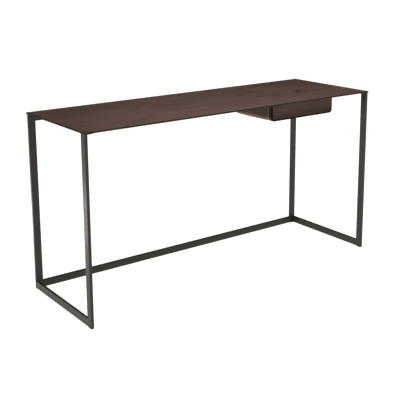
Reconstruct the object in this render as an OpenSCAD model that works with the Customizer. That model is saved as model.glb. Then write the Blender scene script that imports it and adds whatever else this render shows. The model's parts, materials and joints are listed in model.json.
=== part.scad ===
// Slim writing desk: an open frame of flat steel tube carries a thin steel sheet
// covered with hide. Under the right half hangs a hide-covered drawer, and a flush
// lid in the desktop, with a finger hole, opens into it from above.
// Origin: middle of the footprint on the floor. +X is the sitter's right hand,
// +Y points away from the sitter, +Z is up. All sizes are millimetres.

/* [Desk] */
// Width of the desktop
desk_w = 1400; // [1300:10:1600]
// Depth of the desktop
desk_d = 470; // [460:10:600]
// Height of the writing surface
desk_h = 720; // [700:5:760]

/* [Frame] */
// Wide side of the frame tube
tube_wide = 30; // [24:1:40]
// Narrow side of the frame tube
tube_thin = 12; // [10:1:16]
// Wall of the frame tube
tube_wall = 1.5; // [1:0.5:2]
// Outer edge radius of the frame tube
tube_round = 2; // [1:0.5:3]
// Set-back of the frame from the desktop's edge
frame_inset = 3; // [1:1:6]
// Height of the plastic foot glides
glide_h = 2.5; // [2:0.5:4]

/* [Top] */
// Thickness of the steel sheet
sheet_t = 4; // [3:0.5:5]
// Thickness of the hide on the desktop
hide_t = 1.6; // [1.2:0.2:2]
// Set-back of the hide from the sheet's edge
hide_inset = 0.8; // [0.4:0.2:1.2]

/* [Lid] */
// Width of the lid
lid_w = 352; // [330:2:352]
// Depth of the lid
lid_d = 234; // [210:2:236]
// Middle of the lid, to the right of the desk's middle
lid_x = 463; // [440:1:463]
// Front edge of the lid, from the desk's middle
lid_front = -64; // [-70:1:-64]
// Gap round the lid at its front and sides
lid_gap = 0.8; // [0.6:0.1:1.2]
// Thickness of the lid's own sheet
lid_sheet_t = 3; // [2.5:0.5:3]
// Radius of the finger hole
finger_r = 9.5; // [9:0.5:12]
// Middle of the finger hole, behind the lid's front edge
finger_back = 29; // [25:1:40]

/* [Drawer] */
// Width of the drawer front
drawer_w = 360; // [358:1:362]
// Front face of the drawer, from the desk's middle
drawer_front_y = -70; // [-74:1:-70]
// Rear face of the drawer, from the desk's middle
drawer_back_y = 181; // [175:1:181]
// Lower edge of the drawer front, above the floor
drawer_low_z = 607; // [580:1:640]
// Thickness of the drawer front, both hides included
front_t = 18; // [14:1:20]
// Corner radius of the drawer front
front_r = 15; // [6:1:16]
// Thickness of the drawer's outer hide
drawer_hide_t = 3; // [2:0.5:3.5]
// Thickness of the drawer's steel sheet
tray_t = 1.2; // [1:0.1:1.5]
// Furthest that the drawer slides out
drawer_travel = 245; // [200:5:245]

/* [Hidden] */
$fn = 48;

GRAPHITE = "#403f3a";
HIDE = "#5b4a41";
HIDE_EDGE = "#2b211c";
STEEL = "#8d8f90";
BLACK = "#1b1b1b";

// How far a cutting shape runs past the material that it cuts
over = 1;
// Corner radii in plan: sheets and tabs, the lid, and the drawer's lining
sheet_r = 2;
lid_r = 1;
lining_r = 3;

// Levels of the desktop's layers
sheet_z = desk_h - hide_t - sheet_t;
hide_z = desk_h - hide_t;
lid_sheet_z = hide_z - lid_sheet_t;

// Outer planes of the frame
frame_x = desk_w / 2 - frame_inset;
frame_y = desk_d / 2 - frame_inset;
inner_y = frame_y - tube_thin;
tube_inner_r = tube_round - tube_wall + 0.3;
glide_long = tube_wide - 6;
glide_thin = tube_thin - 2;

// Lid outline, and the hinge line behind it
lid_left = lid_x - lid_w / 2;
lid_right = lid_x + lid_w / 2;
lid_back = lid_front + lid_d;
hinge_gap = 1.4;
hinge_y = lid_back + hinge_gap;
hinge_z = desk_h - 1;
knuckle_r = 0.95;
pin_r = 0.5;
pin_play = 0.05;
leaf_t = 0.4;
leaf_d = 12;
knuckles = 12;
knuckle_gap = 0.3;
hinge_len = lid_w - 4;
eyelet_t = 1;
eyelet_flange = 2.5;
eyelet_flange_t = 0.6;
ledge_t = 1.5;
ledge_half = 168;
ledge_under = 12;
ledge_reach = 6;
felt_t = 0.7;
felt_side_inset = 4;
felt_edge_inset = 0.5;

// Drawer section: the hide wrap outside, the steel tray inside it
wrap_half = drawer_w / 2 - 0.5;
tray_half = wrap_half - drawer_hide_t;
wrap_low = drawer_low_z + 1;
tray_low = wrap_low + drawer_hide_t;
wrap_r = 20;
tray_front = drawer_front_y + front_t;
tray_back = drawer_back_y - drawer_hide_t;
front_top = sheet_z - ledge_t - 0.7;
core_front = drawer_front_y + drawer_hide_t;
core_back = tray_front - drawer_hide_t;
core_inset = 1.2;
lining_t = 1.5;
lining_half = tray_half - wrap_r + 1;
lining_play = 0.5;

// Runner section, measured from the drawer's middle line
runner_t = 1.5;
runner_front = -186;
runner_back = 184;
web_in = tray_half + 15;
lip_in = tray_half + 5.5;
foot_out = web_in + 16.5;
runner_drop = 9.5;
strip_t = 1.5;
strip_inset = 0.5;
strip_end = 2;
flange_gap = 0.3;
flange_low = sheet_z - runner_drop + runner_t + strip_t + flange_gap;
flange_out = web_in - 1.5;
wrap_top = flange_low - 1;
tab_in = tray_half + 3.5;
tab_out = tray_half + 11.5;
tab_h = 3.8;
tab_back = tray_back - 2.5;
stop_gap = 0.5;
stop_r = 3.5;
stop_lift = 0.6;
stop_x = (tab_in + tab_out) / 2;
stop_y = tab_back - tray_t - drawer_travel - stop_r - stop_gap;
bumper_gap = 0.4;
bumper_l = 4.6;

// Fasteners: a head's sizes are multiples of its thread's radius
m4_r = 2;
m5_r = 2.5;
head_wide = 1.9;
head_high = 1.1;
socket_wide = 0.75;
socket_deep = 0.65;
thread_depth = 3;
play = 0.05;
hole_play = 0.25;
fix_tab_l = 26;
fix_tab_w = 24;
fix_tab_t = 3;
rear_tab_x = [-600, -200, 200, 600];

// Screws that hold the drawer front to the tray
front_screw_x = [-120, 0, 120];
front_screw_up = [25, 65];
front_head_wide = 2;
front_head_h = 2;
front_grip = tray_t + drawer_hide_t;
front_thread = 7.5;
front_drill = 8;

// Where the fasteners stand in plan: the desktop's, the runners' and the open stops'
tab_points = concat(
  [for (side = [-1, 1])
    [side * (frame_x - tube_thin - fix_tab_w / 2), -frame_y + tube_wide / 2]],
  [for (x = rear_tab_x) [x, inner_y - fix_tab_w / 2]]
);
runner_hole_x = foot_out - 7;
runner_hole_y = [runner_front + 22, (runner_front + runner_back) / 2, runner_back - 22];
runner_points = [for (side = [-1, 1], y = runner_hole_y) [lid_x + side * runner_hole_x, y]];
stop_points = [for (side = [-1, 1]) [lid_x + side * stop_x, stop_y]];
// The front's screws, in the XZ plane
screw_points = [for (x = front_screw_x, up = front_screw_up) [lid_x + x, tray_low + up]];

// ---- shared shapes ----

// Rectangle with round corners, centred
module round_rect(a, b, r) {
  square([a - 2 * r, b], center = true);
  square([a, b - 2 * r], center = true);
  for (sx = [-1, 1], sy = [-1, 1])
    translate([sx * (a / 2 - r), sy * (b / 2 - r)]) circle(r);
}

// Flat plate with round corners, given by its corners in plan
module plate(x0, x1, y0, y1, z0, z1, r) {
  translate([(x0 + x1) / 2, (y0 + y1) / 2, z0])
    linear_extrude(z1 - z0) round_rect(x1 - x0, y1 - y0, r);
}

// Box given by its two corners
module block(x0, x1, y0, y1, z0, z1) {
  translate([x0, y0, z0]) cube([x1 - x0, y1 - y0, z1 - z0]);
}

// Prism with its outline in the YZ plane
module prism_x(points, x0, x1) {
  translate([x0, 0, 0]) rotate([90, 0, 90]) linear_extrude(x1 - x0) polygon(points);
}

// Prism with its outline in the XZ plane
module prism_y(points, y0, y1) {
  translate([0, y1, 0]) rotate([90, 0, 0]) linear_extrude(y1 - y0) polygon(points);
}

// Hollow tube section, a along X and b along Y
module tube_section(a, b) {
  difference() {
    round_rect(a, b, tube_round);
    round_rect(a - 2 * tube_wall, b - 2 * tube_wall, tube_inner_r);
  }
}

// Upright tube between two levels
module upright(x, y, a, b) {
  translate([x, y, glide_h]) linear_extrude(sheet_z - glide_h) tube_section(a, b);
}

// Its children, drawn for the +X side, on both sides of the plane X = x
module both_sides(x) {
  translate([x, 0, 0]) {
    children();
    mirror([1, 0, 0]) children();
  }
}

// ---- frame ----

// Front leg, cut at 45 degrees at its foot for the floor rail
module front_leg() {
  x = frame_x - tube_thin / 2;
  y = -frame_y + tube_wide / 2;
  difference() {
    upright(x, y, tube_thin, tube_wide);
    prism_x([
      [-frame_y - over, glide_h - over],
      [-frame_y + tube_wide + over, glide_h - over],
      [-frame_y + tube_wide + over, glide_h + tube_wide + over]
    ], frame_x - tube_thin - over, frame_x + over);
  }
}

// Floor rail along the side, from the mitre to the rear leg
module floor_rail() {
  x = frame_x - tube_thin / 2;
  z = glide_h + tube_wide / 2;
  difference() {
    translate([x, inner_y, z]) rotate([90, 0, 0])
      linear_extrude(inner_y + frame_y) tube_section(tube_thin, tube_wide);
    prism_x([
      [-frame_y - over, glide_h - over],
      [-frame_y + tube_wide + over, glide_h + tube_wide + over],
      [-frame_y - over, glide_h + tube_wide + over]
    ], frame_x - tube_thin - over, frame_x + over);
  }
}

// Rear leg, mitred at both ends for the two rear rails
module rear_leg() {
  x = frame_x - tube_wide / 2;
  y = frame_y - tube_thin / 2;
  inner = frame_x - tube_wide - over;
  outer = frame_x + over;
  difference() {
    upright(x, y, tube_wide, tube_thin);
    prism_y([
      [outer, glide_h - over], [inner, glide_h + tube_wide + over], [inner, glide_h - over]
    ], inner_y - over, frame_y + over);
    prism_y([
      [outer, sheet_z + over], [inner, sheet_z - tube_wide - over], [inner, sheet_z + over]
    ], inner_y - over, frame_y + over);
  }
}

// Rear rail as a trapezium: its outer edge is the long one
module rear_rail(outer_z, inner_z) {
  way = over * sign(inner_z - outer_z);
  long = frame_x + over;
  short = frame_x - tube_wide - over;
  intersection() {
    translate([-frame_x, frame_y - tube_thin / 2, (outer_z + inner_z) / 2])
      rotate([90, 0, 90]) linear_extrude(2 * frame_x) tube_section(tube_thin, tube_wide);
    prism_y([
      [-long, outer_z - way], [long, outer_z - way],
      [short, inner_z + way], [-short, inner_z + way]
    ], inner_y - over, frame_y + over);
  }
}

module front_left_leg() { color(GRAPHITE) mirror([1, 0, 0]) front_leg(); }
module front_right_leg() { color(GRAPHITE) front_leg(); }
module rear_left_leg() { color(GRAPHITE) mirror([1, 0, 0]) rear_leg(); }
module rear_right_leg() { color(GRAPHITE) rear_leg(); }
module left_floor_rail() { color(GRAPHITE) mirror([1, 0, 0]) floor_rail(); }
module right_floor_rail() { color(GRAPHITE) floor_rail(); }
module rear_floor_rail() { color(GRAPHITE) rear_rail(glide_h, glide_h + tube_wide); }
module rear_top_rail() { color(GRAPHITE) rear_rail(sheet_z, sheet_z - tube_wide); }

// Glides under the four lower corners
module foot_glides() {
  color(BLACK) both_sides(0) {
    translate([frame_x - tube_thin / 2, -frame_y + tube_wide / 2, 0])
      linear_extrude(glide_h) round_rect(glide_thin, glide_long, sheet_r);
    translate([frame_x - tube_wide / 2, frame_y - tube_thin / 2, 0])
      linear_extrude(glide_h) round_rect(glide_long, glide_thin, sheet_r);
  }
}

// ---- fixing the desktop to the frame ----

// Tab welded to the frame, lying under the sheet: it reaches along +Y from y
module fix_tab(x, y) {
  difference() {
    plate(x - fix_tab_l / 2, x + fix_tab_l / 2, y, y + fix_tab_w,
      sheet_z - fix_tab_t, sheet_z, sheet_r);
    translate([x, y + fix_tab_w / 2, sheet_z - fix_tab_t - over])
      cylinder(r = m5_r + hole_play, h = fix_tab_t + 2 * over);
  }
}

module fixing_tabs() {
  color(GRAPHITE) {
    both_sides(0) translate([frame_x - tube_thin, -frame_y + tube_wide / 2, 0])
      rotate([0, 0, 90]) fix_tab(0, 0);
    for (x = rear_tab_x) translate([0, inner_y - fix_tab_w, 0]) fix_tab(x, 0);
  }
}

// Button-head screw pointing up, its head under the level z
module screw(p, z, r, grip) {
  head_h = head_high * r;
  translate([p[0], p[1], z]) {
    cylinder(r = r - play, h = grip + thread_depth);
    difference() {
      translate([0, 0, -head_h]) cylinder(r = head_wide * r, h = head_h);
      translate([0, 0, -head_h - over])
        cylinder(r = socket_wide * r, h = socket_deep * r + over, $fn = 6);
    }
  }
}

// Blind hole in the steel sheet for a screw
module blind_hole(p, r) {
  translate([p[0], p[1], sheet_z - over]) cylinder(r = r, h = thread_depth + over);
}

module tab_screws() {
  color(STEEL) for (p = tab_points) screw(p, sheet_z - fix_tab_t, m5_r, fix_tab_t);
}

// ---- desktop ----

// The opening that the lid lies in, cut through everything between two levels
module lid_opening(z0, z1) {
  plate(lid_left - lid_gap, lid_right + lid_gap, lid_front - lid_gap,
    hinge_y + hinge_gap, z0 - over, z1 + over, lid_r);
}

module top_sheet() {
  color(GRAPHITE) difference() {
    plate(-desk_w / 2, desk_w / 2, -desk_d / 2, desk_d / 2, sheet_z, hide_z, sheet_r);
    lid_opening(sheet_z, hide_z);
    block(lid_x - hinge_len / 2, lid_x + hinge_len / 2,
      hinge_y, hinge_y + hinge_gap + leaf_d, hide_z - leaf_t, hide_z + over);
    for (p = tab_points) blind_hole(p, m5_r);
    for (p = runner_points) blind_hole(p, m4_r);
    for (p = stop_points) blind_hole(p, m4_r);
  }
}

module top_hide() {
  x = desk_w / 2 - hide_inset;
  y = desk_d / 2 - hide_inset;
  color(HIDE) difference() {
    plate(-x, x, -y, y, hide_z, desk_h, sheet_r);
    lid_opening(hide_z, desk_h);
  }
}

// ---- lid and its hinge ----

module lid_ledge() {
  color(GRAPHITE) plate(lid_x - ledge_half, lid_x + ledge_half, lid_front - ledge_under,
    lid_front + ledge_reach, sheet_z - ledge_t, sheet_z, sheet_r);
}

module lid_felt() {
  half = ledge_half - felt_side_inset;
  color(BLACK) block(lid_x - half, lid_x + half, lid_front + felt_edge_inset,
    lid_front + ledge_reach - felt_edge_inset, sheet_z, sheet_z + felt_t);
}

// One leaf with every second knuckle; way is 1 behind the pin and -1 in front
module hinge_leaf(way) {
  pitch = hinge_len / knuckles;
  start = lid_x - hinge_len / 2;
  first = way > 0 ? 0 : 1;
  edge = hinge_y + way * hinge_gap;
  far = edge + way * leaf_d;
  difference() {
    union() {
      block(start, start + hinge_len, min(edge, far), max(edge, far), hide_z - leaf_t, hide_z);
      for (i = [first:2:knuckles - 1])
        translate([start + i * pitch + knuckle_gap / 2, hinge_y, 0]) {
          translate([0, 0, hinge_z]) rotate([0, 90, 0])
            cylinder(r = knuckle_r, h = pitch - knuckle_gap, $fn = 24);
          block(0, pitch - knuckle_gap, min(0, way * hinge_gap), max(0, way * hinge_gap),
            hide_z - leaf_t, hide_z);
        }
    }
    translate([start - over, hinge_y, hinge_z]) rotate([0, 90, 0])
      cylinder(r = pin_r + pin_play, h = hinge_len + 2 * over, $fn = 24);
  }
}

module top_hinge_leaf() { color(STEEL) hinge_leaf(1); }
module lid_hinge_leaf() { color(STEEL) hinge_leaf(-1); }

module hinge_pin() {
  color(STEEL) translate([lid_x - hinge_len / 2, hinge_y, hinge_z]) rotate([0, 90, 0])
    cylinder(r = pin_r, h = hinge_len, $fn = 24);
}

// Round disc between two levels, on the finger hole's axis
module finger_disc(z0, z1, r) {
  translate([lid_x, lid_front + finger_back, z0]) cylinder(r = r, h = z1 - z0);
}

module lid_sheet() {
  color(GRAPHITE) difference() {
    plate(lid_left, lid_right, lid_front, lid_back, lid_sheet_z, hide_z, lid_r);
    finger_disc(lid_sheet_z - over, hide_z + over, finger_r + eyelet_t);
    block(lid_x - hinge_len / 2, lid_x + hinge_len / 2,
      lid_back - leaf_d, lid_back + over, hide_z - leaf_t, hide_z + over);
  }
}

module lid_hide() {
  color(HIDE) difference() {
    plate(lid_left, lid_right, lid_front, lid_back, hide_z, desk_h, lid_r);
    finger_disc(hide_z - over, desk_h + over, finger_r + eyelet_t);
  }
}

// Eyelet that lines the finger hole, with a flange under the lid
module finger_eyelet() {
  color(BLACK) difference() {
    union() {
      finger_disc(lid_sheet_z, desk_h, finger_r + eyelet_t);
      finger_disc(lid_sheet_z - eyelet_flange_t, lid_sheet_z, finger_r + eyelet_flange);
    }
    finger_disc(lid_sheet_z - eyelet_flange_t - over, desk_h + over, finger_r);
  }
}

// ---- runners ----

// Folded runner on the right of the drawer: foot, web and lip
module runner() {
  low = sheet_z - runner_drop;
  block(web_in, foot_out, runner_front, runner_back, sheet_z - runner_t, sheet_z);
  block(web_in, web_in + runner_t, runner_front, runner_back, low, sheet_z);
  block(lip_in, web_in + runner_t, runner_front, runner_back, low, low + runner_t);
}

module runner_drilled() {
  difference() {
    translate([lid_x, 0, 0]) runner();
    for (p = runner_points)
      translate([p[0], p[1], sheet_z - runner_t - over])
        cylinder(r = m4_r + hole_play, h = runner_t + 2 * over);
  }
}

module left_runner() {
  color(GRAPHITE) translate([2 * lid_x, 0, 0]) mirror([1, 0, 0]) runner_drilled();
}

module right_runner() { color(GRAPHITE) runner_drilled(); }

// Plastic strips on the runners' lips, for the tray's flanges to slide on
module glide_strips() {
  low = sheet_z - runner_drop + runner_t;
  color(BLACK) both_sides(lid_x)
    block(lip_in + strip_inset, web_in, runner_front + strip_end, runner_back - strip_end,
      low, low + strip_t);
}

module runner_screws() {
  color(STEEL) for (p = runner_points) screw(p, sheet_z - runner_t, m4_r, runner_t);
}

// Screws that catch the tray's tabs at the end of the travel
module open_stop_screws() {
  color(STEEL) for (p = stop_points) translate([p[0], p[1], 0]) {
    translate([0, 0, sheet_z]) cylinder(r = m4_r - play, h = thread_depth);
    translate([0, 0, flange_low + tray_t + stop_lift])
      cylinder(r = stop_r, h = sheet_z - flange_low - tray_t - stop_lift);
  }
}

// Rubber blocks that the tray's tabs meet when the drawer is closed
module close_bumpers() {
  front = tab_back + bumper_gap;
  color(BLACK) both_sides(lid_x)
    block(tab_in, tab_out, front, front + bumper_l, flange_low + tray_t + bumper_gap, sheet_z);
}

// ---- drawer ----

// Section of a trough, open at the top, with round lower edges
module trough(half, low, top, r) {
  translate([-half, low + r]) square([2 * half, top - low - r]);
  translate([-half + r, low]) square([2 * (half - r), r]);
  for (side = [-1, 1]) translate([side * (half - r), low + r]) circle(r);
}

// Upright panel or shell: its 2D outline in XZ, about the drawer's middle line
module along_y(y0, y1) {
  translate([lid_x, y1, 0]) rotate([90, 0, 0]) linear_extrude(y1 - y0) children();
}

module drawer_tray() {
  top = flange_low + tray_t;
  r = wrap_r - drawer_hide_t;
  color(GRAPHITE) {
    difference() {
      along_y(tray_front, tray_back) trough(tray_half, tray_low, top, r);
      along_y(tray_front + tray_t, tray_back - tray_t)
        trough(tray_half - tray_t, tray_low + tray_t, top + over, r - tray_t);
      for (p = screw_points) front_screw_hole(p);
    }
    both_sides(lid_x) {
      block(tray_half - tray_t, flange_out, tray_front, tray_back, flange_low, top);
      block(tab_in, tab_out, tab_back - tray_t, tab_back, flange_low, top + tab_h);
    }
  }
}

// Hide round the tray's sides and underside
module drawer_wrap() {
  color(HIDE) difference() {
    along_y(tray_front, drawer_back_y) trough(wrap_half, wrap_low, wrap_top, wrap_r);
    along_y(tray_front - over, drawer_back_y + over)
      trough(tray_half, tray_low, flange_low, wrap_r - drawer_hide_t);
  }
}

module drawer_rear_hide() {
  color(HIDE) along_y(tray_back, drawer_back_y)
    trough(tray_half, tray_low, wrap_top, wrap_r - drawer_hide_t);
}

// Outline of the drawer front, inset by a margin all round
module front_outline(inset) {
  translate([0, (drawer_low_z + front_top) / 2])
    round_rect(drawer_w - 2 * inset, front_top - drawer_low_z - 2 * inset, front_r - inset);
}

module front_outer_hide() {
  color(HIDE) along_y(drawer_front_y, core_front) front_outline(0);
}

module front_core() {
  color(HIDE) difference() {
    along_y(core_front, core_back) front_outline(core_inset);
    for (p = screw_points) front_screw_hole(p);
  }
}

module front_inner_hide() {
  color(HIDE_EDGE) difference() {
    along_y(core_back, tray_front) front_outline(0);
    for (p = screw_points) front_screw_hole(p);
  }
}

// Hole for a screw that holds the front, driven from inside the tray
module front_screw_hole(p) {
  translate([p[0], tray_front + tray_t + over, p[1]]) rotate([90, 0, 0])
    cylinder(r = m4_r, h = over + front_grip + front_drill);
}

module front_screws() {
  color(STEEL) for (p = screw_points)
    translate([p[0], tray_front + tray_t, p[1]]) rotate([90, 0, 0]) {
      cylinder(r = m4_r - play, h = front_grip + front_thread);
      translate([0, 0, -front_head_h]) cylinder(r = front_head_wide * m4_r, h = front_head_h);
    }
}

module drawer_lining() {
  low = tray_low + tray_t;
  end = tray_t + lining_play;
  color(BLACK) plate(lid_x - lining_half, lid_x + lining_half, tray_front + end,
    tray_back - end, low, low + lining_t, lining_r);
}

front_left_leg();
front_right_leg();
rear_left_leg();
rear_right_leg();
left_floor_rail();
right_floor_rail();
rear_floor_rail();
rear_top_rail();
foot_glides();
fixing_tabs();
tab_screws();
top_sheet();
top_hide();
lid_ledge();
lid_felt();
top_hinge_leaf();
hinge_pin();
lid_hinge_leaf();
lid_sheet();
lid_hide();
finger_eyelet();
left_runner();
right_runner();
glide_strips();
runner_screws();
open_stop_screws();
close_bumpers();
drawer_tray();
drawer_wrap();
drawer_rear_hide();
front_outer_hide();
front_core();
front_inner_hide();
front_screws();
drawer_lining();
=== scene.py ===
"""Looks of the writing desk: its hide, painted steel and small fittings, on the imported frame.

All lengths are metres in the desk's own frame: +X along the top, +Y to the rear, +Z up.
"""

import json
import math

import bmesh
import bpy
from mathutils import Matrix, Vector, noise
from mathutils.geometry import delaunay_2d_cdt


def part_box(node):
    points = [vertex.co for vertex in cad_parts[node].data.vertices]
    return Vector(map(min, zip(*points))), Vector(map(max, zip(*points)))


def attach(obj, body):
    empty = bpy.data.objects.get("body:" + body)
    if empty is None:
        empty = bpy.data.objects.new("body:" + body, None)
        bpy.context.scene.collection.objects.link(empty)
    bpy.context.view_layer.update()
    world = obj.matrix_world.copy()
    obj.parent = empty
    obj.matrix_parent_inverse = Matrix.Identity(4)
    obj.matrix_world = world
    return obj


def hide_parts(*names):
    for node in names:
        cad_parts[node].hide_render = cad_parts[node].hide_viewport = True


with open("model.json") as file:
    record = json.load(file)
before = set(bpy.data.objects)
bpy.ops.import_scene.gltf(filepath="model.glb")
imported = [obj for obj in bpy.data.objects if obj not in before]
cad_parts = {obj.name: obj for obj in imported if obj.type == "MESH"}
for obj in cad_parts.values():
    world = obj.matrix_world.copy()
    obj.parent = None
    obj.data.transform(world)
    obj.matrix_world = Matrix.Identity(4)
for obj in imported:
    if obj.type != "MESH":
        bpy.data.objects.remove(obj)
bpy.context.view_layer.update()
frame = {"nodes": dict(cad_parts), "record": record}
NODES = frame["nodes"]

MM = 0.001

# ---- camera, floor and light ----

CAMERA_AT = Vector((-1.959, -2.626, 1.305))
CAMERA_YAW = 36.1      # degrees clockwise from +Y, seen from above
CAMERA_PITCH = 12.03   # degrees down
CAMERA_ROLL = -0.34
CAMERA_SENSOR = 36.0   # mm
CAMERA_LENS = 72.97    # mm
CAMERA_SHIFT = -0.18
CAMERA_REACH = 200.0

FLOOR_HALF = 30.0

# The background and the floor's own glow: how bright the camera sees them, and how much light they give
BACKGROUND_SEEN = 1.15
BACKGROUND_LIGHT = 0.15
FLOOR_GLOW_SEEN = 1.15
FLOOR_GLOW_LIGHT = 0.68

WHITE = (1.0, 1.0, 1.0)
WARM_WHITE = (1.0, 0.97, 0.93)
WARM_LAMP = (1.0, 0.96, 0.90)
ALL_ROUND = 180

# Soft lamps: name, place, what it faces, width, height, degrees of spread, watts, colour
SOFTBOXES = [
    ("overhead", (0.65, -0.45, 2.2), (0.5, -0.1, 0.7), 1.6, 1.2, ALL_ROUND, 11.0, WHITE),
    ("front_top", (-0.2, -0.55, 1.5), (-0.2, -0.3, 0.72), 0.8, 0.25, ALL_ROUND, 6.3, WHITE),
    ("left_low", (-1.16, 0.56, 0.12), (-0.7, -0.15, 0.34), 0.9, 0.22, ALL_ROUND, 2.1, WARM_LAMP),
    ("left_side", (-2.0, 0.1, 0.3), (-0.6, 0.0, 0.2), 1.2, 0.5, ALL_ROUND, 4.2, WARM_LAMP),
    ("right_front", (1.8, -1.8, 1.0), (0.3, 0.0, 0.65), 1.0, 0.6, ALL_ROUND, 7.5, WHITE),
    ("under_drawer", (0.27, 0.05, 0.03), (0.30, 0.06, 0.61), 0.2, 0.4, 60, 1.6, WARM_LAMP),
]


def make_camera():
    """A view from the front left, from above the desktop."""
    data = bpy.data.cameras.new("camera")
    data.sensor_width = CAMERA_SENSOR
    data.lens = CAMERA_LENS
    data.shift_y = CAMERA_SHIFT
    data.clip_end = CAMERA_REACH
    camera = bpy.data.objects.new("camera", data)
    bpy.context.scene.collection.objects.link(camera)
    turn = Matrix.Rotation(math.radians(-CAMERA_YAW), 4, "Z")
    tilt = Matrix.Rotation(math.radians(90.0 - CAMERA_PITCH), 4, "X")
    roll = Matrix.Rotation(math.radians(CAMERA_ROLL), 4, "Z")
    camera.matrix_world = Matrix.Translation(CAMERA_AT) @ turn @ tilt @ roll
    bpy.context.scene.camera = camera


def make_softbox(name, place, target, width, height, spread, power, colour):
    """A large soft lamp at place that faces target."""
    data = bpy.data.lights.new(name, "AREA")
    data.shape = "RECTANGLE"
    data.size = width
    data.size_y = height
    data.spread = math.radians(spread)
    data.energy = power
    data.color = colour
    lamp = bpy.data.objects.new(name, data)
    bpy.context.scene.collection.objects.link(lamp)
    lamp.location = place
    lamp.rotation_euler = (Vector(target) - Vector(place)).to_track_quat("-Z", "Y").to_euler()
    lamp.visible_camera = False


def make_world():
    """White to the camera, and much dimmer as a light."""
    world = bpy.data.worlds.new("studio")
    world.use_nodes = True
    tree = world.node_tree
    sky = tree.nodes["Background"]
    sky.inputs["Color"].default_value = WARM_WHITE + (1.0,)
    path = tree.nodes.new("ShaderNodeLightPath")
    level = tree.nodes.new("ShaderNodeMapRange")
    level.inputs["To Min"].default_value = BACKGROUND_LIGHT
    level.inputs["To Max"].default_value = BACKGROUND_SEEN
    tree.links.new(path.outputs["Is Camera Ray"], level.inputs["Value"])
    tree.links.new(level.outputs["Result"], sky.inputs["Strength"])
    bpy.context.scene.world = world


def make_stage():
    """Background, soft lamps and floor."""
    make_world()
    bpy.context.scene.view_settings.view_transform = "Standard"
    for softbox in SOFTBOXES:
        make_softbox(*softbox)
    mesh = bpy.data.meshes.new("floor")
    h = FLOOR_HALF
    mesh.from_pydata([(-h, -h, 0), (h, -h, 0), (h, h, 0), (-h, h, 0)], [], [(0, 1, 2, 3)])
    floor = bpy.data.objects.new("floor", mesh)
    bpy.context.scene.collection.objects.link(floor)
    floor.data.materials.append(floor_material())


# ---- materials ----


class Shade:
    """A material's node tree, with a short call for each kind of node that the pieces use."""

    def __init__(self, name):
        self.material = bpy.data.materials.new(name)
        self.material.use_nodes = True
        self.tree = self.material.node_tree
        self.shader = self.tree.nodes["Principled BSDF"]
        self.place = self.tree.nodes.new("ShaderNodeTexCoord").outputs["Object"]

    def node(self, kind, inputs=None, **settings):
        made = self.tree.nodes.new(kind)
        for key, value in settings.items():
            setattr(made, key, value)
        for key, value in (inputs or {}).items():
            if isinstance(value, bpy.types.NodeSocket):
                self.tree.links.new(value, made.inputs[key])
            else:
                made.inputs[key].default_value = value
        return made

    def stretched(self, scale):
        """The place, scaled by (x, y, z), for a pattern with a direction: a lower number draws it out."""
        return self.node("ShaderNodeMapping", {"Vector": self.place, "Scale": scale}).outputs["Vector"]

    def noise(self, scale, detail=3.0, roughness=0.55, place=None):
        """Soft noise round 0.5: scale is cells a metre."""
        inputs = {"Vector": place or self.place, "Scale": scale, "Detail": detail, "Roughness": roughness}
        return self.node("ShaderNodeTexNoise", inputs).outputs["Fac"]

    def patches(self, scale, to_low=0.0, to_high=1.0, detail=3.0):
        """Soft patches whose value runs from to_low to to_high."""
        return self.spread(self.noise(scale, detail), 0.3, 0.7, to_low, to_high)

    def cells(self, scale):
        """Rounded cells, dark in their middles: scale is cells a metre."""
        inputs = {"Vector": self.place, "Scale": scale}
        return self.node("ShaderNodeTexVoronoi", inputs, feature="SMOOTH_F1").outputs["Distance"]

    def math(self, operation, a, b=0.0):
        """One sum of two values, each a number or a socket."""
        made = self.node("ShaderNodeMath", {0: a, 1: b}, operation=operation)
        return made.outputs["Value"]

    def spread(self, value, low, high, to_low=0.0, to_high=1.0):
        """value, moved from low..high to to_low..to_high and held inside it."""
        inputs = {"Value": value, "From Min": low, "From Max": high, "To Min": to_low, "To Max": to_high}
        return self.node("ShaderNodeMapRange", inputs).outputs["Result"]

    def blend(self, share, a, b):
        """Colour a where share is 0, b where it is 1."""
        made = self.node("ShaderNodeMix", data_type="RGBA")
        sockets = [s for s in made.inputs if s.enabled]
        for socket, value in zip(sockets, (share, a, b)):
            if isinstance(value, bpy.types.NodeSocket):
                self.tree.links.new(value, socket)
            else:
                socket.default_value = value
        return next(s for s in made.outputs if s.enabled)

    def layer(self, tone, mask, strength, colour):
        """Lays a colour over tone where mask is 1, at the given strength."""
        return self.blend(self.math("MULTIPLY", mask, strength), tone, colour)

    def bump(self, height, strength, depth, below=None):
        """Relief of the given depth, on top of the relief below."""
        inputs = {"Height": height, "Strength": strength, "Distance": depth}
        if below is not None:
            inputs["Normal"] = below
        return self.node("ShaderNodeBump", inputs).outputs["Normal"]

    def finish(self, colour=None, roughness=None, normal=None, **uniform):
        """Links what varies, and sets what is the same all over on the shader itself."""
        for key, value in (("Base Color", colour), ("Roughness", roughness), ("Normal", normal)):
            if isinstance(value, bpy.types.NodeSocket):
                self.tree.links.new(value, self.shader.inputs[key])
            elif value is not None:
                self.shader.inputs[key].default_value = value
        for key, value in uniform.items():
            self.shader.inputs[key.replace("_", " ")].default_value = value
        return self.material


def rgb(red, green, blue):
    """Linear colour with full alpha."""
    return (red, green, blue, 1.0)


def times(colour, factor):
    """A colour made darker or lighter."""
    return tuple(c * factor for c in colour[:3]) + (1.0,)


HIDE_COLOUR = rgb(0.110, 0.066, 0.051)
PAINT_COLOUR = rgb(0.034, 0.030, 0.022)

# How light each hide is beside the desktop's
LID_TONE = 0.98
FRONT_TONE = 0.98
DRAWER_TONE = 0.95
# The wrap's low tone is painted shade: its sides and floor are darkened as if under the desktop's shadow
WRAP_SHADE_TONE = 0.52
BOARD_TONE = 0.42


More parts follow.
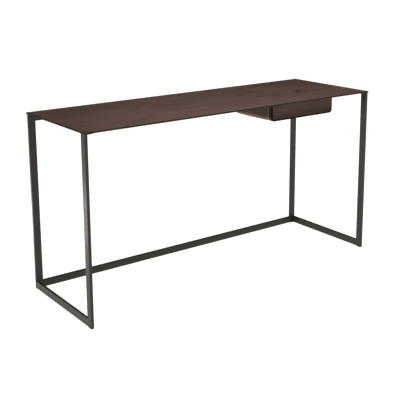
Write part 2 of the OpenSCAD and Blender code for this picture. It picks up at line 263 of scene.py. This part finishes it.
def floor_material():
    """Plain white with hardly visible clouds. It glows, so that it stays white under the desk."""
    shade = Shade("floor_white")
    colour = shade.blend(shade.patches(0.8, detail=2.0), rgb(0.48, 0.48, 0.48), rgb(0.50, 0.50, 0.50))
    seen = shade.node("ShaderNodeLightPath").outputs["Is Camera Ray"]
    glow = shade.spread(seen, 0.0, 1.0, FLOOR_GLOW_LIGHT, FLOOR_GLOW_SEEN)
    shade.tree.links.new(glow, shade.shader.inputs["Emission Strength"])
    return shade.finish(colour, roughness=0.9, Specular_IOR_Level=0.0, Emission_Color=rgb(*WARM_WHITE))


def hide_material(name, colour, rub=None, painted_shade=None):
    """Vegetable-tanned hide: cloudy colour, fine pores and faint creases.

    rub marks its worn, lighter rims; the other mask marks where painted shade darkens the hide.
    """
    shade = Shade(name)
    # Clouds, streaks and veins run along X, as on a hide that is cut lengthwise
    clouds = shade.noise(4.5, detail=5.0, roughness=0.6, place=shade.stretched((0.7, 1.3, 1.3)))
    streaks = shade.noise(16.0, detail=5.0, roughness=0.65, place=shade.stretched((0.35, 1.4, 1.4)))
    veins = shade.noise(38.0, detail=6.0, roughness=0.7, place=shade.stretched((0.22, 1.2, 1.2)))
    specks = shade.noise(420.0, detail=2.0)
    tone = shade.blend(shade.spread(clouds, 0.34, 0.66), times(colour, 0.80), times(colour, 1.16))
    tone = shade.layer(tone, shade.spread(streaks, 0.36, 0.64), 0.55, times(colour, 1.27))
    tone = shade.layer(tone, shade.spread(veins, 0.50, 0.72), 0.45, times(colour, 0.62))
    tone = shade.layer(tone, shade.spread(specks, 0.42, 0.62), 0.22, times(colour, 0.62))
    if rub is not None:
        tone = shade.layer(tone, rub(shade), 0.35, times(colour, 1.6))
    # Painted shade: the hide turns darker where this mask is 1
    if painted_shade is not None:
        tone = shade.layer(tone, painted_shade(shade), 0.95, times(colour, 0.30))
    # Relief: the hide's own waves, then creases, then pores
    waves = shade.noise(22.0, detail=2.0)
    creases = shade.noise(260.0, detail=4.0, roughness=0.7)
    pores = shade.spread(shade.cells(850.0), 0.05, 0.55)
    normal = shade.bump(waves, strength=0.25, depth=0.6 * MM)
    normal = shade.bump(creases, strength=0.30, depth=0.10 * MM, below=normal)
    normal = shade.bump(pores, strength=0.35, depth=0.12 * MM, below=normal)
    gloss = shade.patches(30.0, to_low=0.56, to_high=0.68)
    return shade.finish(tone, gloss, normal, Specular_IOR_Level=0.14)


def edge_paint_material():
    """Dark burnished paint on the hides' cut edges."""
    shade = Shade("edge_paint")
    streaks = shade.spread(shade.noise(90.0), 0.35, 0.65)
    tone = shade.blend(streaks, rgb(0.008, 0.004, 0.003), rgb(0.015, 0.007, 0.005))
    normal = shade.bump(shade.noise(500.0), strength=0.3, depth=0.05 * MM)
    gloss = shade.patches(60.0, to_low=0.42, to_high=0.54, detail=2.0)
    return shade.finish(tone, gloss, normal, Specular_IOR_Level=0.05, IOR=1.2)


def thread_material():
    """Waxed linen, twisted, darker than the hide."""
    shade = Shade("waxed_thread")
    twist = shade.noise(2400.0, detail=2.0, roughness=0.5, place=shade.stretched((1.0, 1.0, 0.4)))
    tone = shade.blend(shade.spread(twist, 0.3, 0.7), rgb(0.030, 0.019, 0.014), rgb(0.062, 0.041, 0.031))
    normal = shade.bump(twist, strength=0.5, depth=0.08 * MM)
    return shade.finish(tone, 0.6, normal, Specular_IOR_Level=0.35)


def paint_material(name, colour, rough=0.40):
    """Satin powder coat: slight clouding, pale specks of dust and a fine orange peel."""
    shade = Shade(name)
    tone = shade.blend(shade.patches(9.0, detail=4.0), times(colour, 0.93), times(colour, 1.07))
    dust = shade.spread(shade.noise(700.0, detail=2.0), 0.55, 0.75)
    tone = shade.layer(tone, dust, 0.18, times(colour, 1.8))
    peel = shade.noise(950.0, detail=2.0)
    normal = shade.bump(peel, strength=0.22, depth=0.05 * MM)
    gloss = shade.patches(35.0, to_low=rough - 0.04, to_high=rough + 0.05)
    return shade.finish(tone, gloss, normal, Specular_IOR_Level=0.42)


def metal_material(name, colour, rough):
    """Blackened steel with fine turning marks."""
    shade = Shade(name)
    marks = shade.noise(1600.0, roughness=0.6, place=shade.stretched((1.0, 1.0, 0.15)))
    tone = shade.blend(shade.patches(120.0), times(colour, 0.8), times(colour, 1.2))
    gloss = shade.spread(marks, 0.3, 0.7, to_low=rough - 0.07, to_high=rough + 0.09)
    return shade.finish(tone, gloss, shade.bump(marks, strength=0.2, depth=0.03 * MM), Metallic=1.0)


def plastic_material(name, colour, rough):
    """Moulded plastic or rubber: faint clouds and a fine spark-eroded grain."""
    shade = Shade(name)
    tone = shade.blend(shade.patches(150.0), times(colour, 0.85), times(colour, 1.25))
    gloss = shade.patches(80.0, to_low=rough - 0.06, to_high=rough + 0.06, detail=2.0)
    grain = shade.noise(1300.0, detail=2.0)
    return shade.finish(tone, gloss, shade.bump(grain, strength=0.3, depth=0.05 * MM))


def felt_material():
    """Pressed wool: tangled short fibres with a soft sheen."""
    shade = Shade("wool_felt")
    fibres = shade.noise(900.0, detail=6.0, roughness=0.75, place=shade.stretched((1.0, 0.35, 1.0)))
    crossing = shade.noise(1000.0, detail=6.0, roughness=0.75, place=shade.stretched((0.35, 1.0, 1.0)))
    tangle = shade.math("MULTIPLY", fibres, crossing)
    tone = shade.blend(shade.spread(tangle, 0.12, 0.42), rgb(0.030, 0.025, 0.021), rgb(0.085, 0.071, 0.060))
    normal = shade.bump(tangle, strength=0.7, depth=0.4 * MM)
    return shade.finish(tone, 0.95, normal, Specular_IOR_Level=0.15, Sheen_Weight=0.35, Sheen_Roughness=0.5)


def rim_of(low, high, width):
    """Marks the rim of a rectangle in plan, from its edge to width inside it."""
    middle = (low + high) / 2
    half = (high - low) / 2

    def mark(shade):
        split = shade.node("ShaderNodeSeparateXYZ", {"Vector": shade.place})
        reach = []
        for axis in range(2):
            offset = shade.math("SUBTRACT", split.outputs[axis], middle[axis])
            reach.append(shade.math("SUBTRACT", shade.math("ABSOLUTE", offset), half[axis]))
        nearest = shade.math("MAXIMUM", reach[0], reach[1])
        worn = shade.spread(shade.noise(45.0, detail=4.0), 0.25, 0.7, to_low=0.45, to_high=1.0)
        return shade.math("MULTIPLY", shade.spread(nearest, -width, -0.3 * width), worn)

    return mark


def low_edge_of(low, reach):
    """Marks an upright sheet near the level low, and fades out until reach above it."""

    def mark(shade):
        height = shade.node("ShaderNodeSeparateXYZ", {"Vector": shade.place}).outputs["Z"]
        fade = shade.spread(height, low, low + reach, to_low=1.0, to_high=0.0)
        return shade.math("MULTIPLY", fade, shade.patches(28.0, to_low=0.7, to_high=1.0, detail=4.0))

    return mark


# ---- mesh helpers ----


WELD = 1e-6        # points closer than this are one point
SHARP = 1e-5       # the least radius that a corner keeps
FILL_NEAR = 1e-7   # points of a flat fill closer than this are one point
FILL_INSIDE = 1    # tells the fill to keep only the triangles inside its ring
SHARP_EDGE = 40    # degrees at which an edge looks sharp

# The numbers of a piece's materials: its face, its painted edge and, on the wrap, its hem
SKIN, EDGE, HEM = range(3)


def add_object(name, bm, materials):
    """Makes an object from bm: welded, with its faces turned outwards and shaded smooth."""
    bmesh.ops.remove_doubles(bm, verts=bm.verts, dist=WELD)
    bmesh.ops.recalc_face_normals(bm, faces=bm.faces)
    mesh = bpy.data.meshes.new(name)
    bm.to_mesh(mesh)
    bm.free()
    for face in mesh.polygons:
        face.use_smooth = True
    for material in materials:
        mesh.materials.append(material)
    made = bpy.data.objects.new(name, mesh)
    bpy.context.scene.collection.objects.link(made)
    return made


def settle(piece, body, node=None):
    """Puts a piece on the body it moves with, and hides the CAD node that it stands for."""
    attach(piece, body)
    if node is not None:
        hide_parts(node)


def round_rect(low, high, radius, steps=6, top_radius=None):
    """A rectangle with round corners as a function: inset -> its points, anticlockwise.

    top_radius, where it is given, is the radius of the two corners on the high side.
    """
    upper = radius if top_radius is None else top_radius

    def points(inset):
        made = []
        corners = [(high[0], high[1], 0, upper), (low[0], high[1], 90, upper),
                   (low[0], low[1], 180, radius), (high[0], low[1], 270, radius)]
        for x, y, start, full in corners:
            r = max(full - inset, SHARP)
            cx = x - math.copysign(inset + r, x - (low[0] + high[0]) / 2)
            cy = y - math.copysign(inset + r, y - (low[1] + high[1]) / 2)
            for i in range(steps + 1):
                a = math.radians(start + 90.0 * i / steps)
                made.append((cx + r * math.cos(a), cy + r * math.sin(a)))
        return made

    return points


def circle(centre, radius, steps=48):
    """A circle as a function: inset -> its points, anticlockwise."""

    def points(inset):
        r = radius - inset
        turns = [i * (2 * math.pi / steps) for i in range(steps)]
        return [(centre[0] + r * math.cos(a), centre[1] + r * math.sin(a)) for a in turns]

    return points


def rolled(low, high, roll, lap, steps=5):
    """Profile of a sheet's edge as (inset, level): straight side, rolled upper corner, then a flat lap."""
    profile = [(0.0, low)]
    for i in range(steps + 1):
        a = math.pi / 2 * i / steps
        profile.append((roll * (1 - math.cos(a)), high - roll * (1 - math.sin(a))))
    profile.append((roll + lap, high))
    return profile


def sheet_solid(outline, holes, profile, place, inside=(), rim_material=SKIN):
    """A sheet with shaped rims. place maps (u, v, level) to a point.

    inside holds extra points, so that place can bend the face between the rims. rim_material is the
    material number of the rims' faces, or a function that gives it for a level.
    """
    bm = bmesh.new()
    rims = []
    for points, sign in [(outline, 1.0)] + [(hole, -1.0) for hole in holes]:
        rings = []
        for inset, level in profile:
            rings.append([bm.verts.new(place(u, v, level)) for u, v in points(sign * inset)])
        for k, (below, above) in enumerate(zip(rings, rings[1:])):
            number = rim_material
            if callable(rim_material):
                number = rim_material((profile[k][1] + profile[k + 1][1]) / 2)
            for i in range(len(below)):
                j = (i + 1) % len(below)
                face = bm.faces.new((below[i], below[j], above[j], above[i]))
                face.material_index = number
        rims.append((points, sign, rings))
    for end, extra in ((0, ()), (-1, inside)):
        rings = [rings[end] for _, _, rings in rims]
        if extra:
            fill_with_points(bm, rings[0], outline(profile[end][0]), extra, profile[end][1], place)
        else:
            edges = [bm.edges.get((ring[i - 1], ring[i])) for ring in rings for i in range(len(ring))]
            bmesh.ops.triangle_fill(bm, edges=edges, use_beauty=True)
    return bm


def fill_with_points(bm, ring, flat_ring, extra, level, place):
    """Fills one ring with triangles that also use the extra points inside it."""
    flat = [Vector(p) for p in flat_ring] + [Vector(p) for p in extra]
    edges = [(i, (i + 1) % len(ring)) for i in range(len(ring))]
    verts, _, faces, origin, _, _ = delaunay_2d_cdt(flat, edges, [], FILL_INSIDE, FILL_NEAR)
    made = []
    for i, at in enumerate(verts):
        known = [k for k in origin[i] if k < len(ring)]
        made.append(ring[known[0]] if known else bm.verts.new(place(at.x, at.y, level)))
    for face in faces:
        bm.faces.new([made[i] for i in face])


def flat_place(u, v, level):
    """The place of a sheet that lies level."""
    return (u, v, level)


# ---- the hides of desktop and lid ----

LID_GAP = 0.8 * MM
HINGE_GAP = 1.4 * MM
EYELET_FLANGE = 1.5 * MM  # how far the eyelet's flange reaches past its wall
DESKTOP_ROUND = 2.0 * MM  # corner radii in plan
LID_ROUND = 1.0 * MM
FELT_ROUND = 0.8 * MM
RIM_WEAR = 4.0 * MM       # width of the desktop's worn rim


def make_desktop_hide(edge_paint):
    """The hide on the fixed sheet, with an opening for the lid as far back as the hinge."""
    low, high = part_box("top_hide")
    lid_low, lid_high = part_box("lid_hide")
    pin_low, pin_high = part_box("hinge_pin")
    behind = (pin_low.y + pin_high.y) / 2 + HINGE_GAP
    opening = round_rect((lid_low.x - LID_GAP, lid_low.y - LID_GAP), (lid_high.x + LID_GAP, behind),
                         LID_ROUND)
    outline = round_rect(low, high, DESKTOP_ROUND)
    profile = rolled(low.z, high.z, roll=0.6 * MM, lap=0.4 * MM)
    bm = sheet_solid(outline, [opening], profile, flat_place, rim_material=EDGE)
    skin = hide_material("hide_top", HIDE_COLOUR, rim_of(low, high, RIM_WEAR))
    settle(add_object("desktop_hide", bm, [skin, edge_paint]), "desk", "top_hide")


def make_lid_hide(edge_paint):
    """The hide on the lid, with the finger hole."""
    low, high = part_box("lid_hide")
    ring_low, ring_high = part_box("finger_eyelet")
    hole = circle((ring_low + ring_high) / 2, (ring_high.x - ring_low.x) / 2 - EYELET_FLANGE)
    outline = round_rect(low, high, LID_ROUND)
    profile = rolled(low.z, high.z, roll=0.5 * MM, lap=0.4 * MM)
    bm = sheet_solid(outline, [hole], profile, flat_place, rim_material=EDGE)
    skin = hide_material("hide_lid", times(HIDE_COLOUR, LID_TONE))
    settle(add_object("lid_hide_skin", bm, [skin, edge_paint]), "lid", "lid_hide")


def make_lid_felt(felt):
    """The strip on the ledge that the lid's front comes down on."""
    low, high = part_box("lid_felt")
    outline = round_rect(low, high, FELT_ROUND, steps=3)
    bm = sheet_solid(outline, [], rolled(low.z, high.z, roll=0.12 * MM, lap=0.2 * MM), flat_place)
    settle(add_object("ledge_felt", bm, [felt]), "desk", "lid_felt")


# ---- the drawer's hides and felt ----

FRONT_ROUND = 15.0 * MM   # corner radius of the drawer front
CORE_INSET = 1.2 * MM     # how far the board's edge stands back from the hides'
LOW_SHADE_HIGH = 42.0 * MM  # how far up the front the painted shade reaches
BEAD = 3.6 * MM           # width of each painted bead on the board's edge
BEAD_DIP = 0.7 * MM       # depth of the board's edge between its beads
WRAP_ROUND = 20.0 * MM    # lower corner radius of the wrap
REAR_TOP_ROUND = 0.8 * MM

CROWN_COLUMNS = 36
CROWN_ROWS = 10
CROWN_FROM = 0.99         # levels above this share of a sheet's thickness belong to its crowned face

LINING_ROUND = 8.0 * MM
LINING_WAVE = 0.35 * MM
LINING_WAVES = 9          # cells a metre
LINING_SLICE = 0.7        # the height at which the waves are cut from the noise
LINING_SKIN = 0.05 * MM   # what lies within this of the top belongs to the waved face
LINING_COLUMNS = 30
LINING_ROWS = 20


def grid_inside(low, high, columns, rows):
    """Points inside a rectangle, evenly spaced and clear of its sides."""
    made = []
    for i in range(1, columns):
        for k in range(1, rows):
            made.append((low[0] + (high[0] - low[0]) * i / columns, low[1] + (high[1] - low[1]) * k / rows))
    return made


def make_upright_sheet(name, node, hide, edge_paint, forward, outline, roll, lap, crown):
    """A hide that stands across the drawer, with painted edges, and its face crowned in the middle.

    forward says whether its face looks to the front.
    """
    low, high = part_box(node)
    thick = high.y - low.y
    outer = low.y if forward else high.y
    into = 1.0 if forward else -1.0
    middle = (low + high) / 2
    half_u = (high.x - low.x) / 2
    half_v = (high.z - low.z) / 2

    def place(u, v, level):
        across = max(0.0, 1 - ((u - middle.x) / half_u) ** 4)
        upright = max(0.0, 1 - ((v - middle.z) / half_v) ** 4)
        on_face = level > thick * CROWN_FROM
        lift = crown * (across * upright) if on_face else 0.0
        return (u, outer + into * (thick - level - lift), v)

    inside = grid_inside((low.x, low.z), (high.x, high.z), CROWN_COLUMNS, CROWN_ROWS)
    bm = sheet_solid(outline, [], rolled(0.0, thick, roll, lap), place, inside, rim_material=EDGE)
    settle(add_object(name, bm, [hide, edge_paint]), "drawer", node)


def make_front(hide, edge_paint):
    """The two hides of the drawer front. The outer one is darkened with painted shade towards its lower
    edge.
    """
    low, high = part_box("front_outer_hide")
    outline = round_rect((low.x, low.z), (high.x, high.z), FRONT_ROUND, steps=10)
    # Painted shade, darkest at the front's lower edge and fading upwards
    low_shade = low_edge_of(low.z, LOW_SHADE_HIGH)
    face = hide_material("hide_front", times(HIDE_COLOUR, FRONT_TONE), painted_shade=low_shade)
    # The outer hide's wide dark lap is partly its real edge paint and partly painted shade on its rounded
    # edge
    make_upright_sheet("front_face_hide", "front_outer_hide", face, edge_paint, True, outline,
                       roll=1.6 * MM, lap=4.6 * MM, crown=0.6 * MM)
    make_upright_sheet("front_back_hide", "front_inner_hide", hide, edge_paint, False, outline,
                       roll=1.2 * MM, lap=1.0 * MM, crown=0.0)


def make_front_board(edge_paint):
    """The board between the front's hides. Its edge is covered with hide and has two painted beads."""
    low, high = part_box("front_core")
    thick = high.y - low.y
    bead = [(0.8 * MM, 0.0), (0.15 * MM, 0.8 * MM), (0.0, 0.5 * BEAD), (0.2 * MM, 0.8 * BEAD),
            (BEAD_DIP, BEAD)]
    profile = bead + [(inset, thick - level) for inset, level in reversed(bead)]
    outline = round_rect((low.x, low.z), (high.x, high.z), FRONT_ROUND - CORE_INSET, steps=10)
    bm = sheet_solid(outline, [], profile, lambda u, v, level: (u, low.y + level, v),
                     rim_material=lambda level: SKIN if BEAD < level < thick - BEAD else EDGE)
    board = hide_material("hide_board", times(HIDE_COLOUR, BOARD_TONE))
    settle(add_object("front_board", bm, [board, edge_paint]), "drawer", "front_core")


def make_rear_hide(hide, edge_paint):
    """The hide on the drawer's rear, inside the wrap's round lower corners."""
    low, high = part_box("drawer_rear_hide")
    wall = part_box("drawer_tray")[0].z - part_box("drawer_wrap")[0].z
    outline = round_rect((low.x, low.z), (high.x, high.z), WRAP_ROUND - wall, steps=8,
                         top_radius=REAR_TOP_ROUND)
    make_upright_sheet("drawer_back_hide", "drawer_rear_hide", hide, edge_paint, False, outline,
                       roll=0.8 * MM, lap=1.0 * MM, crown=0.4 * MM)


def make_lining(felt):
    """Felt sheet laid on the tray's floor, with a slight natural wave."""
    low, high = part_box("drawer_lining")

    def place(u, v, level):
        if level <= high.z - LINING_SKIN:
            return (u, v, level)
        wave = noise.noise(Vector((u * LINING_WAVES, v * LINING_WAVES, LINING_SLICE)))
        return (u, v, level + LINING_WAVE * wave)

    outline = round_rect(low, high, LINING_ROUND)
    inside = grid_inside(low, high, LINING_COLUMNS, LINING_ROWS)
    bm = sheet_solid(outline, [], rolled(low.z, high.z, roll=0.6 * MM, lap=0.6 * MM), place, inside)
    lining = add_object("felt_lining", bm, [felt])
    settle(lining, "drawer", "drawer_lining")


def arc_entries(centre_x, centre_z, radius, start, steps):
    """A quarter turn of the wrap's section, from start degrees on, without its last point."""
    made = []
    for i in range(steps):
        a = math.radians(start + 90.0 * i / steps)
        out_x, out_z = math.cos(a), math.sin(a)
        made.append((centre_x + radius * out_x, centre_z + radius * out_z, out_x, out_z))
    return made


def trough_path(half, low, top, radius, side_steps=10, arc_steps=10, floor_steps=28):
    """The wrap's outer section from the top of its left side to the top of its right one.

    Each entry is (x, z, outward x, outward z), with x from the drawer's middle.
    """
    path = []
    for i in range(side_steps):
        path.append((-half, top + (low + radius - top) * i / side_steps, -1.0, 0.0))
    path += arc_entries(-half + radius, low + radius, radius, 180, arc_steps)
    for i in range(floor_steps):
        path.append((-half + radius + 2 * (half - radius) * i / floor_steps, low, 0.0, -1.0))
    path += arc_entries(half - radius, low + radius, radius, 270, arc_steps)
    for i in range(side_steps + 1):
        path.append((half, low + radius + (top - low - radius) * i / side_steps, 1.0, 0.0))
    return path


HEM_WIDE = 12.0 * MM
HEM_PROUD = 0.8 * MM
WRAP_BULGE = 4.0 * MM
SAG_LOW = 0.75          # under 1, the swell is greatest low on the sides, and the floor hangs a little
FULLNESS = 0.4          # the lower it is, the nearer to the wrap's ends the swell reaches its full height
RIPPLE = 0.25 * MM
RIPPLES = 14            # cells a metre
LIP = 0.8 * MM          # how far the wrap's ends round over
HEM_SEAM = 0.3 * MM     # how close the rings stand before and behind the hem's rear edge
WRAP_RINGS = 28
INNER_SHARE = 0.97      # how much of its thickness the wrap fills, towards the tray

STITCH_PITCH = 4.2 * MM
STITCH_LONG = 3.1 * MM
STITCH_THICK = 0.75 * MM
STITCH_BACK = 8.5 * MM  # the seam's distance from the wrap's front end
STITCH_LIFT = 0.1 * MM  # how far the thread's middle lies above the hide

WRAP_LOW, WRAP_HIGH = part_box("drawer_wrap")
WRAP_DEPTH = WRAP_HIGH.y - WRAP_LOW.y
WRAP_MIDDLE = (WRAP_LOW.x + WRAP_HIGH.x) / 2
WRAP_PATH = trough_path((WRAP_HIGH.x - WRAP_LOW.x) / 2, WRAP_LOW.z, WRAP_HIGH.z, WRAP_ROUND)


def wrap_proud(from_front, x, z):
    """How far the wrap's outer skin stands out of its plain section at (x, z)."""
    ripple = RIPPLE * noise.noise(Vector((x * RIPPLES, from_front * RIPPLES, z * RIPPLES)))
    edge = min(from_front, WRAP_DEPTH - from_front)
    lip = -LIP * (1 - edge / LIP) ** 2 if edge < LIP else 0.0
    if from_front < HEM_WIDE:
        return HEM_PROUD + ripple + lip
    along = math.sin(math.pi * (from_front - HEM_WIDE) / (WRAP_DEPTH - HEM_WIDE)) ** FULLNESS
    down = (WRAP_HIGH.z - z) / (WRAP_HIGH.z - WRAP_LOW.z)
    return HEM_PROUD + (WRAP_BULGE - HEM_PROUD) * along * math.sin(SAG_LOW * math.pi * down) + ripple + lip


def wrap_point(from_front, entry, lift):
    """The point that stands lift out of the wrap's plain section."""
    x, z, out_x, out_z = entry
    return Vector((WRAP_MIDDLE + x + out_x * lift, WRAP_LOW.y + from_front, z + out_z * lift))


def wrap_stations():
    """The wrap's rings, as distances from its front end: close together at its ends and hem."""
    stations = [0.0, 0.4 * LIP, LIP, 0.25 * HEM_WIDE, 0.5 * HEM_WIDE, 0.75 * HEM_WIDE, HEM_WIDE - LIP,
                HEM_WIDE - HEM_SEAM, HEM_WIDE + HEM_SEAM, HEM_WIDE + 2 * LIP]
    start = stations[-1]
    stations += [start + (WRAP_DEPTH - 2 * LIP - start) * (i + 1) / WRAP_RINGS for i in range(WRAP_RINGS)]
    return stations + [WRAP_DEPTH - LIP, WRAP_DEPTH - 0.4 * LIP, WRAP_DEPTH]


def make_drawer_wrap(edge_paint):
    """Hide round the drawer's sides and floor, darkened with painted shade: it swells a little, with a
    turned hem behind the front.
    """
    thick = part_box("drawer_tray")[0].z - WRAP_LOW.z
    stations = wrap_stations()
    bm = bmesh.new()
    outer, inner = [], []
    for at in stations:
        outer.append([bm.verts.new(wrap_point(at, e, wrap_proud(at, e[0], e[1]))) for e in WRAP_PATH])
        inner.append([bm.verts.new(wrap_point(at, e, -INNER_SHARE * thick)) for e in WRAP_PATH])

    def join(row, next_row, number):
        for i in range(len(row) - 1):
            face = bm.faces.new((row[i], row[i + 1], next_row[i + 1], next_row[i]))
            face.material_index = number

    for rows in (outer, inner):
        for at, row, next_row in zip(stations[1:], rows, rows[1:]):
            join(row, next_row, HEM if at <= HEM_WIDE else SKIN)
    for end in (0, -1):
        join(outer[end], inner[end], EDGE)
        join([row[end] for row in outer], [row[end] for row in inner], EDGE)
    # Painted shade darkens the wrap's sides and floor; the hem keeps the plain hide colour
    side = hide_material("hide_wrap", times(HIDE_COLOUR, WRAP_SHADE_TONE))
    hem = hide_material("hide_hem", HIDE_COLOUR)
    made = add_object("drawer_wrap_hide", bm, [side, edge_paint, hem])
    made.data.set_sharp_from_angle(angle=math.radians(SHARP_EDGE))
    settle(made, "drawer", "drawer_wrap")


def make_hem_stitches(thread):
    """One row of stitches round the hem, each lying along the seam and sunk a little into the hide."""
    bm = bmesh.new()
    spare = STITCH_PITCH / 2
    for here, there in zip(WRAP_PATH, WRAP_PATH[1:]):
        step = math.hypot(there[0] - here[0], there[1] - here[1])
        while spare < step:
            share = spare / step
            entry = [a + (b - a) * share for a, b in zip(here, there)]
            out = Vector((entry[2], 0.0, entry[3])).normalized()
            proud = wrap_proud(STITCH_BACK, entry[0], entry[1])
            centre = wrap_point(STITCH_BACK, entry, proud + STITCH_LIFT)
            along = Vector((0.0, 1.0, 0.0)).cross(out)
            turn = Matrix((along, (0.0, 1.0, 0.0), out)).transposed().to_4x4()
            shape = Matrix.Diagonal((STITCH_LONG / 2, STITCH_THICK / 2, STITCH_THICK / 2, 1.0))
            bmesh.ops.create_uvsphere(bm, u_segments=8, v_segments=6, radius=1.0,
                                      matrix=Matrix.Translation(centre) @ turn @ shape)
            spare += STITCH_PITCH
        spare -= step
    settle(add_object("hem_stitches", bm, [thread]), "drawer")


# ---- the CAD nodes' materials, and all together ----

SHEETS = ("top_sheet", "lid_sheet")


def finish_cad_nodes(hide, felt):
    """Gives every CAD node the material of its slot.

    The paint of the two sheets is darker and duller than the frame's.
    """
    finishes = {
        "frame_paint": paint_material("graphite_paint", PAINT_COLOUR),
        "hide": hide,
        "dark_steel": metal_material("blackened_steel", rgb(0.045, 0.042, 0.039), rough=0.48),
        "eyelet_paint": paint_material("eyelet_black", rgb(0.014, 0.007, 0.006), rough=0.55),
        "black_plastic": plastic_material("black_plastic", rgb(0.014, 0.014, 0.014), rough=0.5),
        "black_rubber": plastic_material("black_rubber", rgb(0.018, 0.018, 0.018), rough=0.75),
        "felt": felt,
    }
    sheet_paint = paint_material("sheet_paint", times(PAINT_COLOUR, 0.45), rough=0.62)
    for part in frame["record"]["subparts"]:
        materials = NODES[part["node"]].data.materials
        materials.clear()
        materials.append(sheet_paint if part["node"] in SHEETS else finishes[part["material_slot"]])


def main():
    make_camera()
    make_stage()
    hide = hide_material("hide_drawer", times(HIDE_COLOUR, DRAWER_TONE))
    edge_paint = edge_paint_material()
    felt = felt_material()
    finish_cad_nodes(hide, felt)
    make_desktop_hide(edge_paint)
    make_lid_hide(edge_paint)
    make_lid_felt(felt)
    make_front(hide, edge_paint)
    make_front_board(edge_paint)
    make_rear_hide(hide, edge_paint)
    make_lining(felt)
    make_drawer_wrap(edge_paint)
    make_hem_stitches(thread_material())


main()
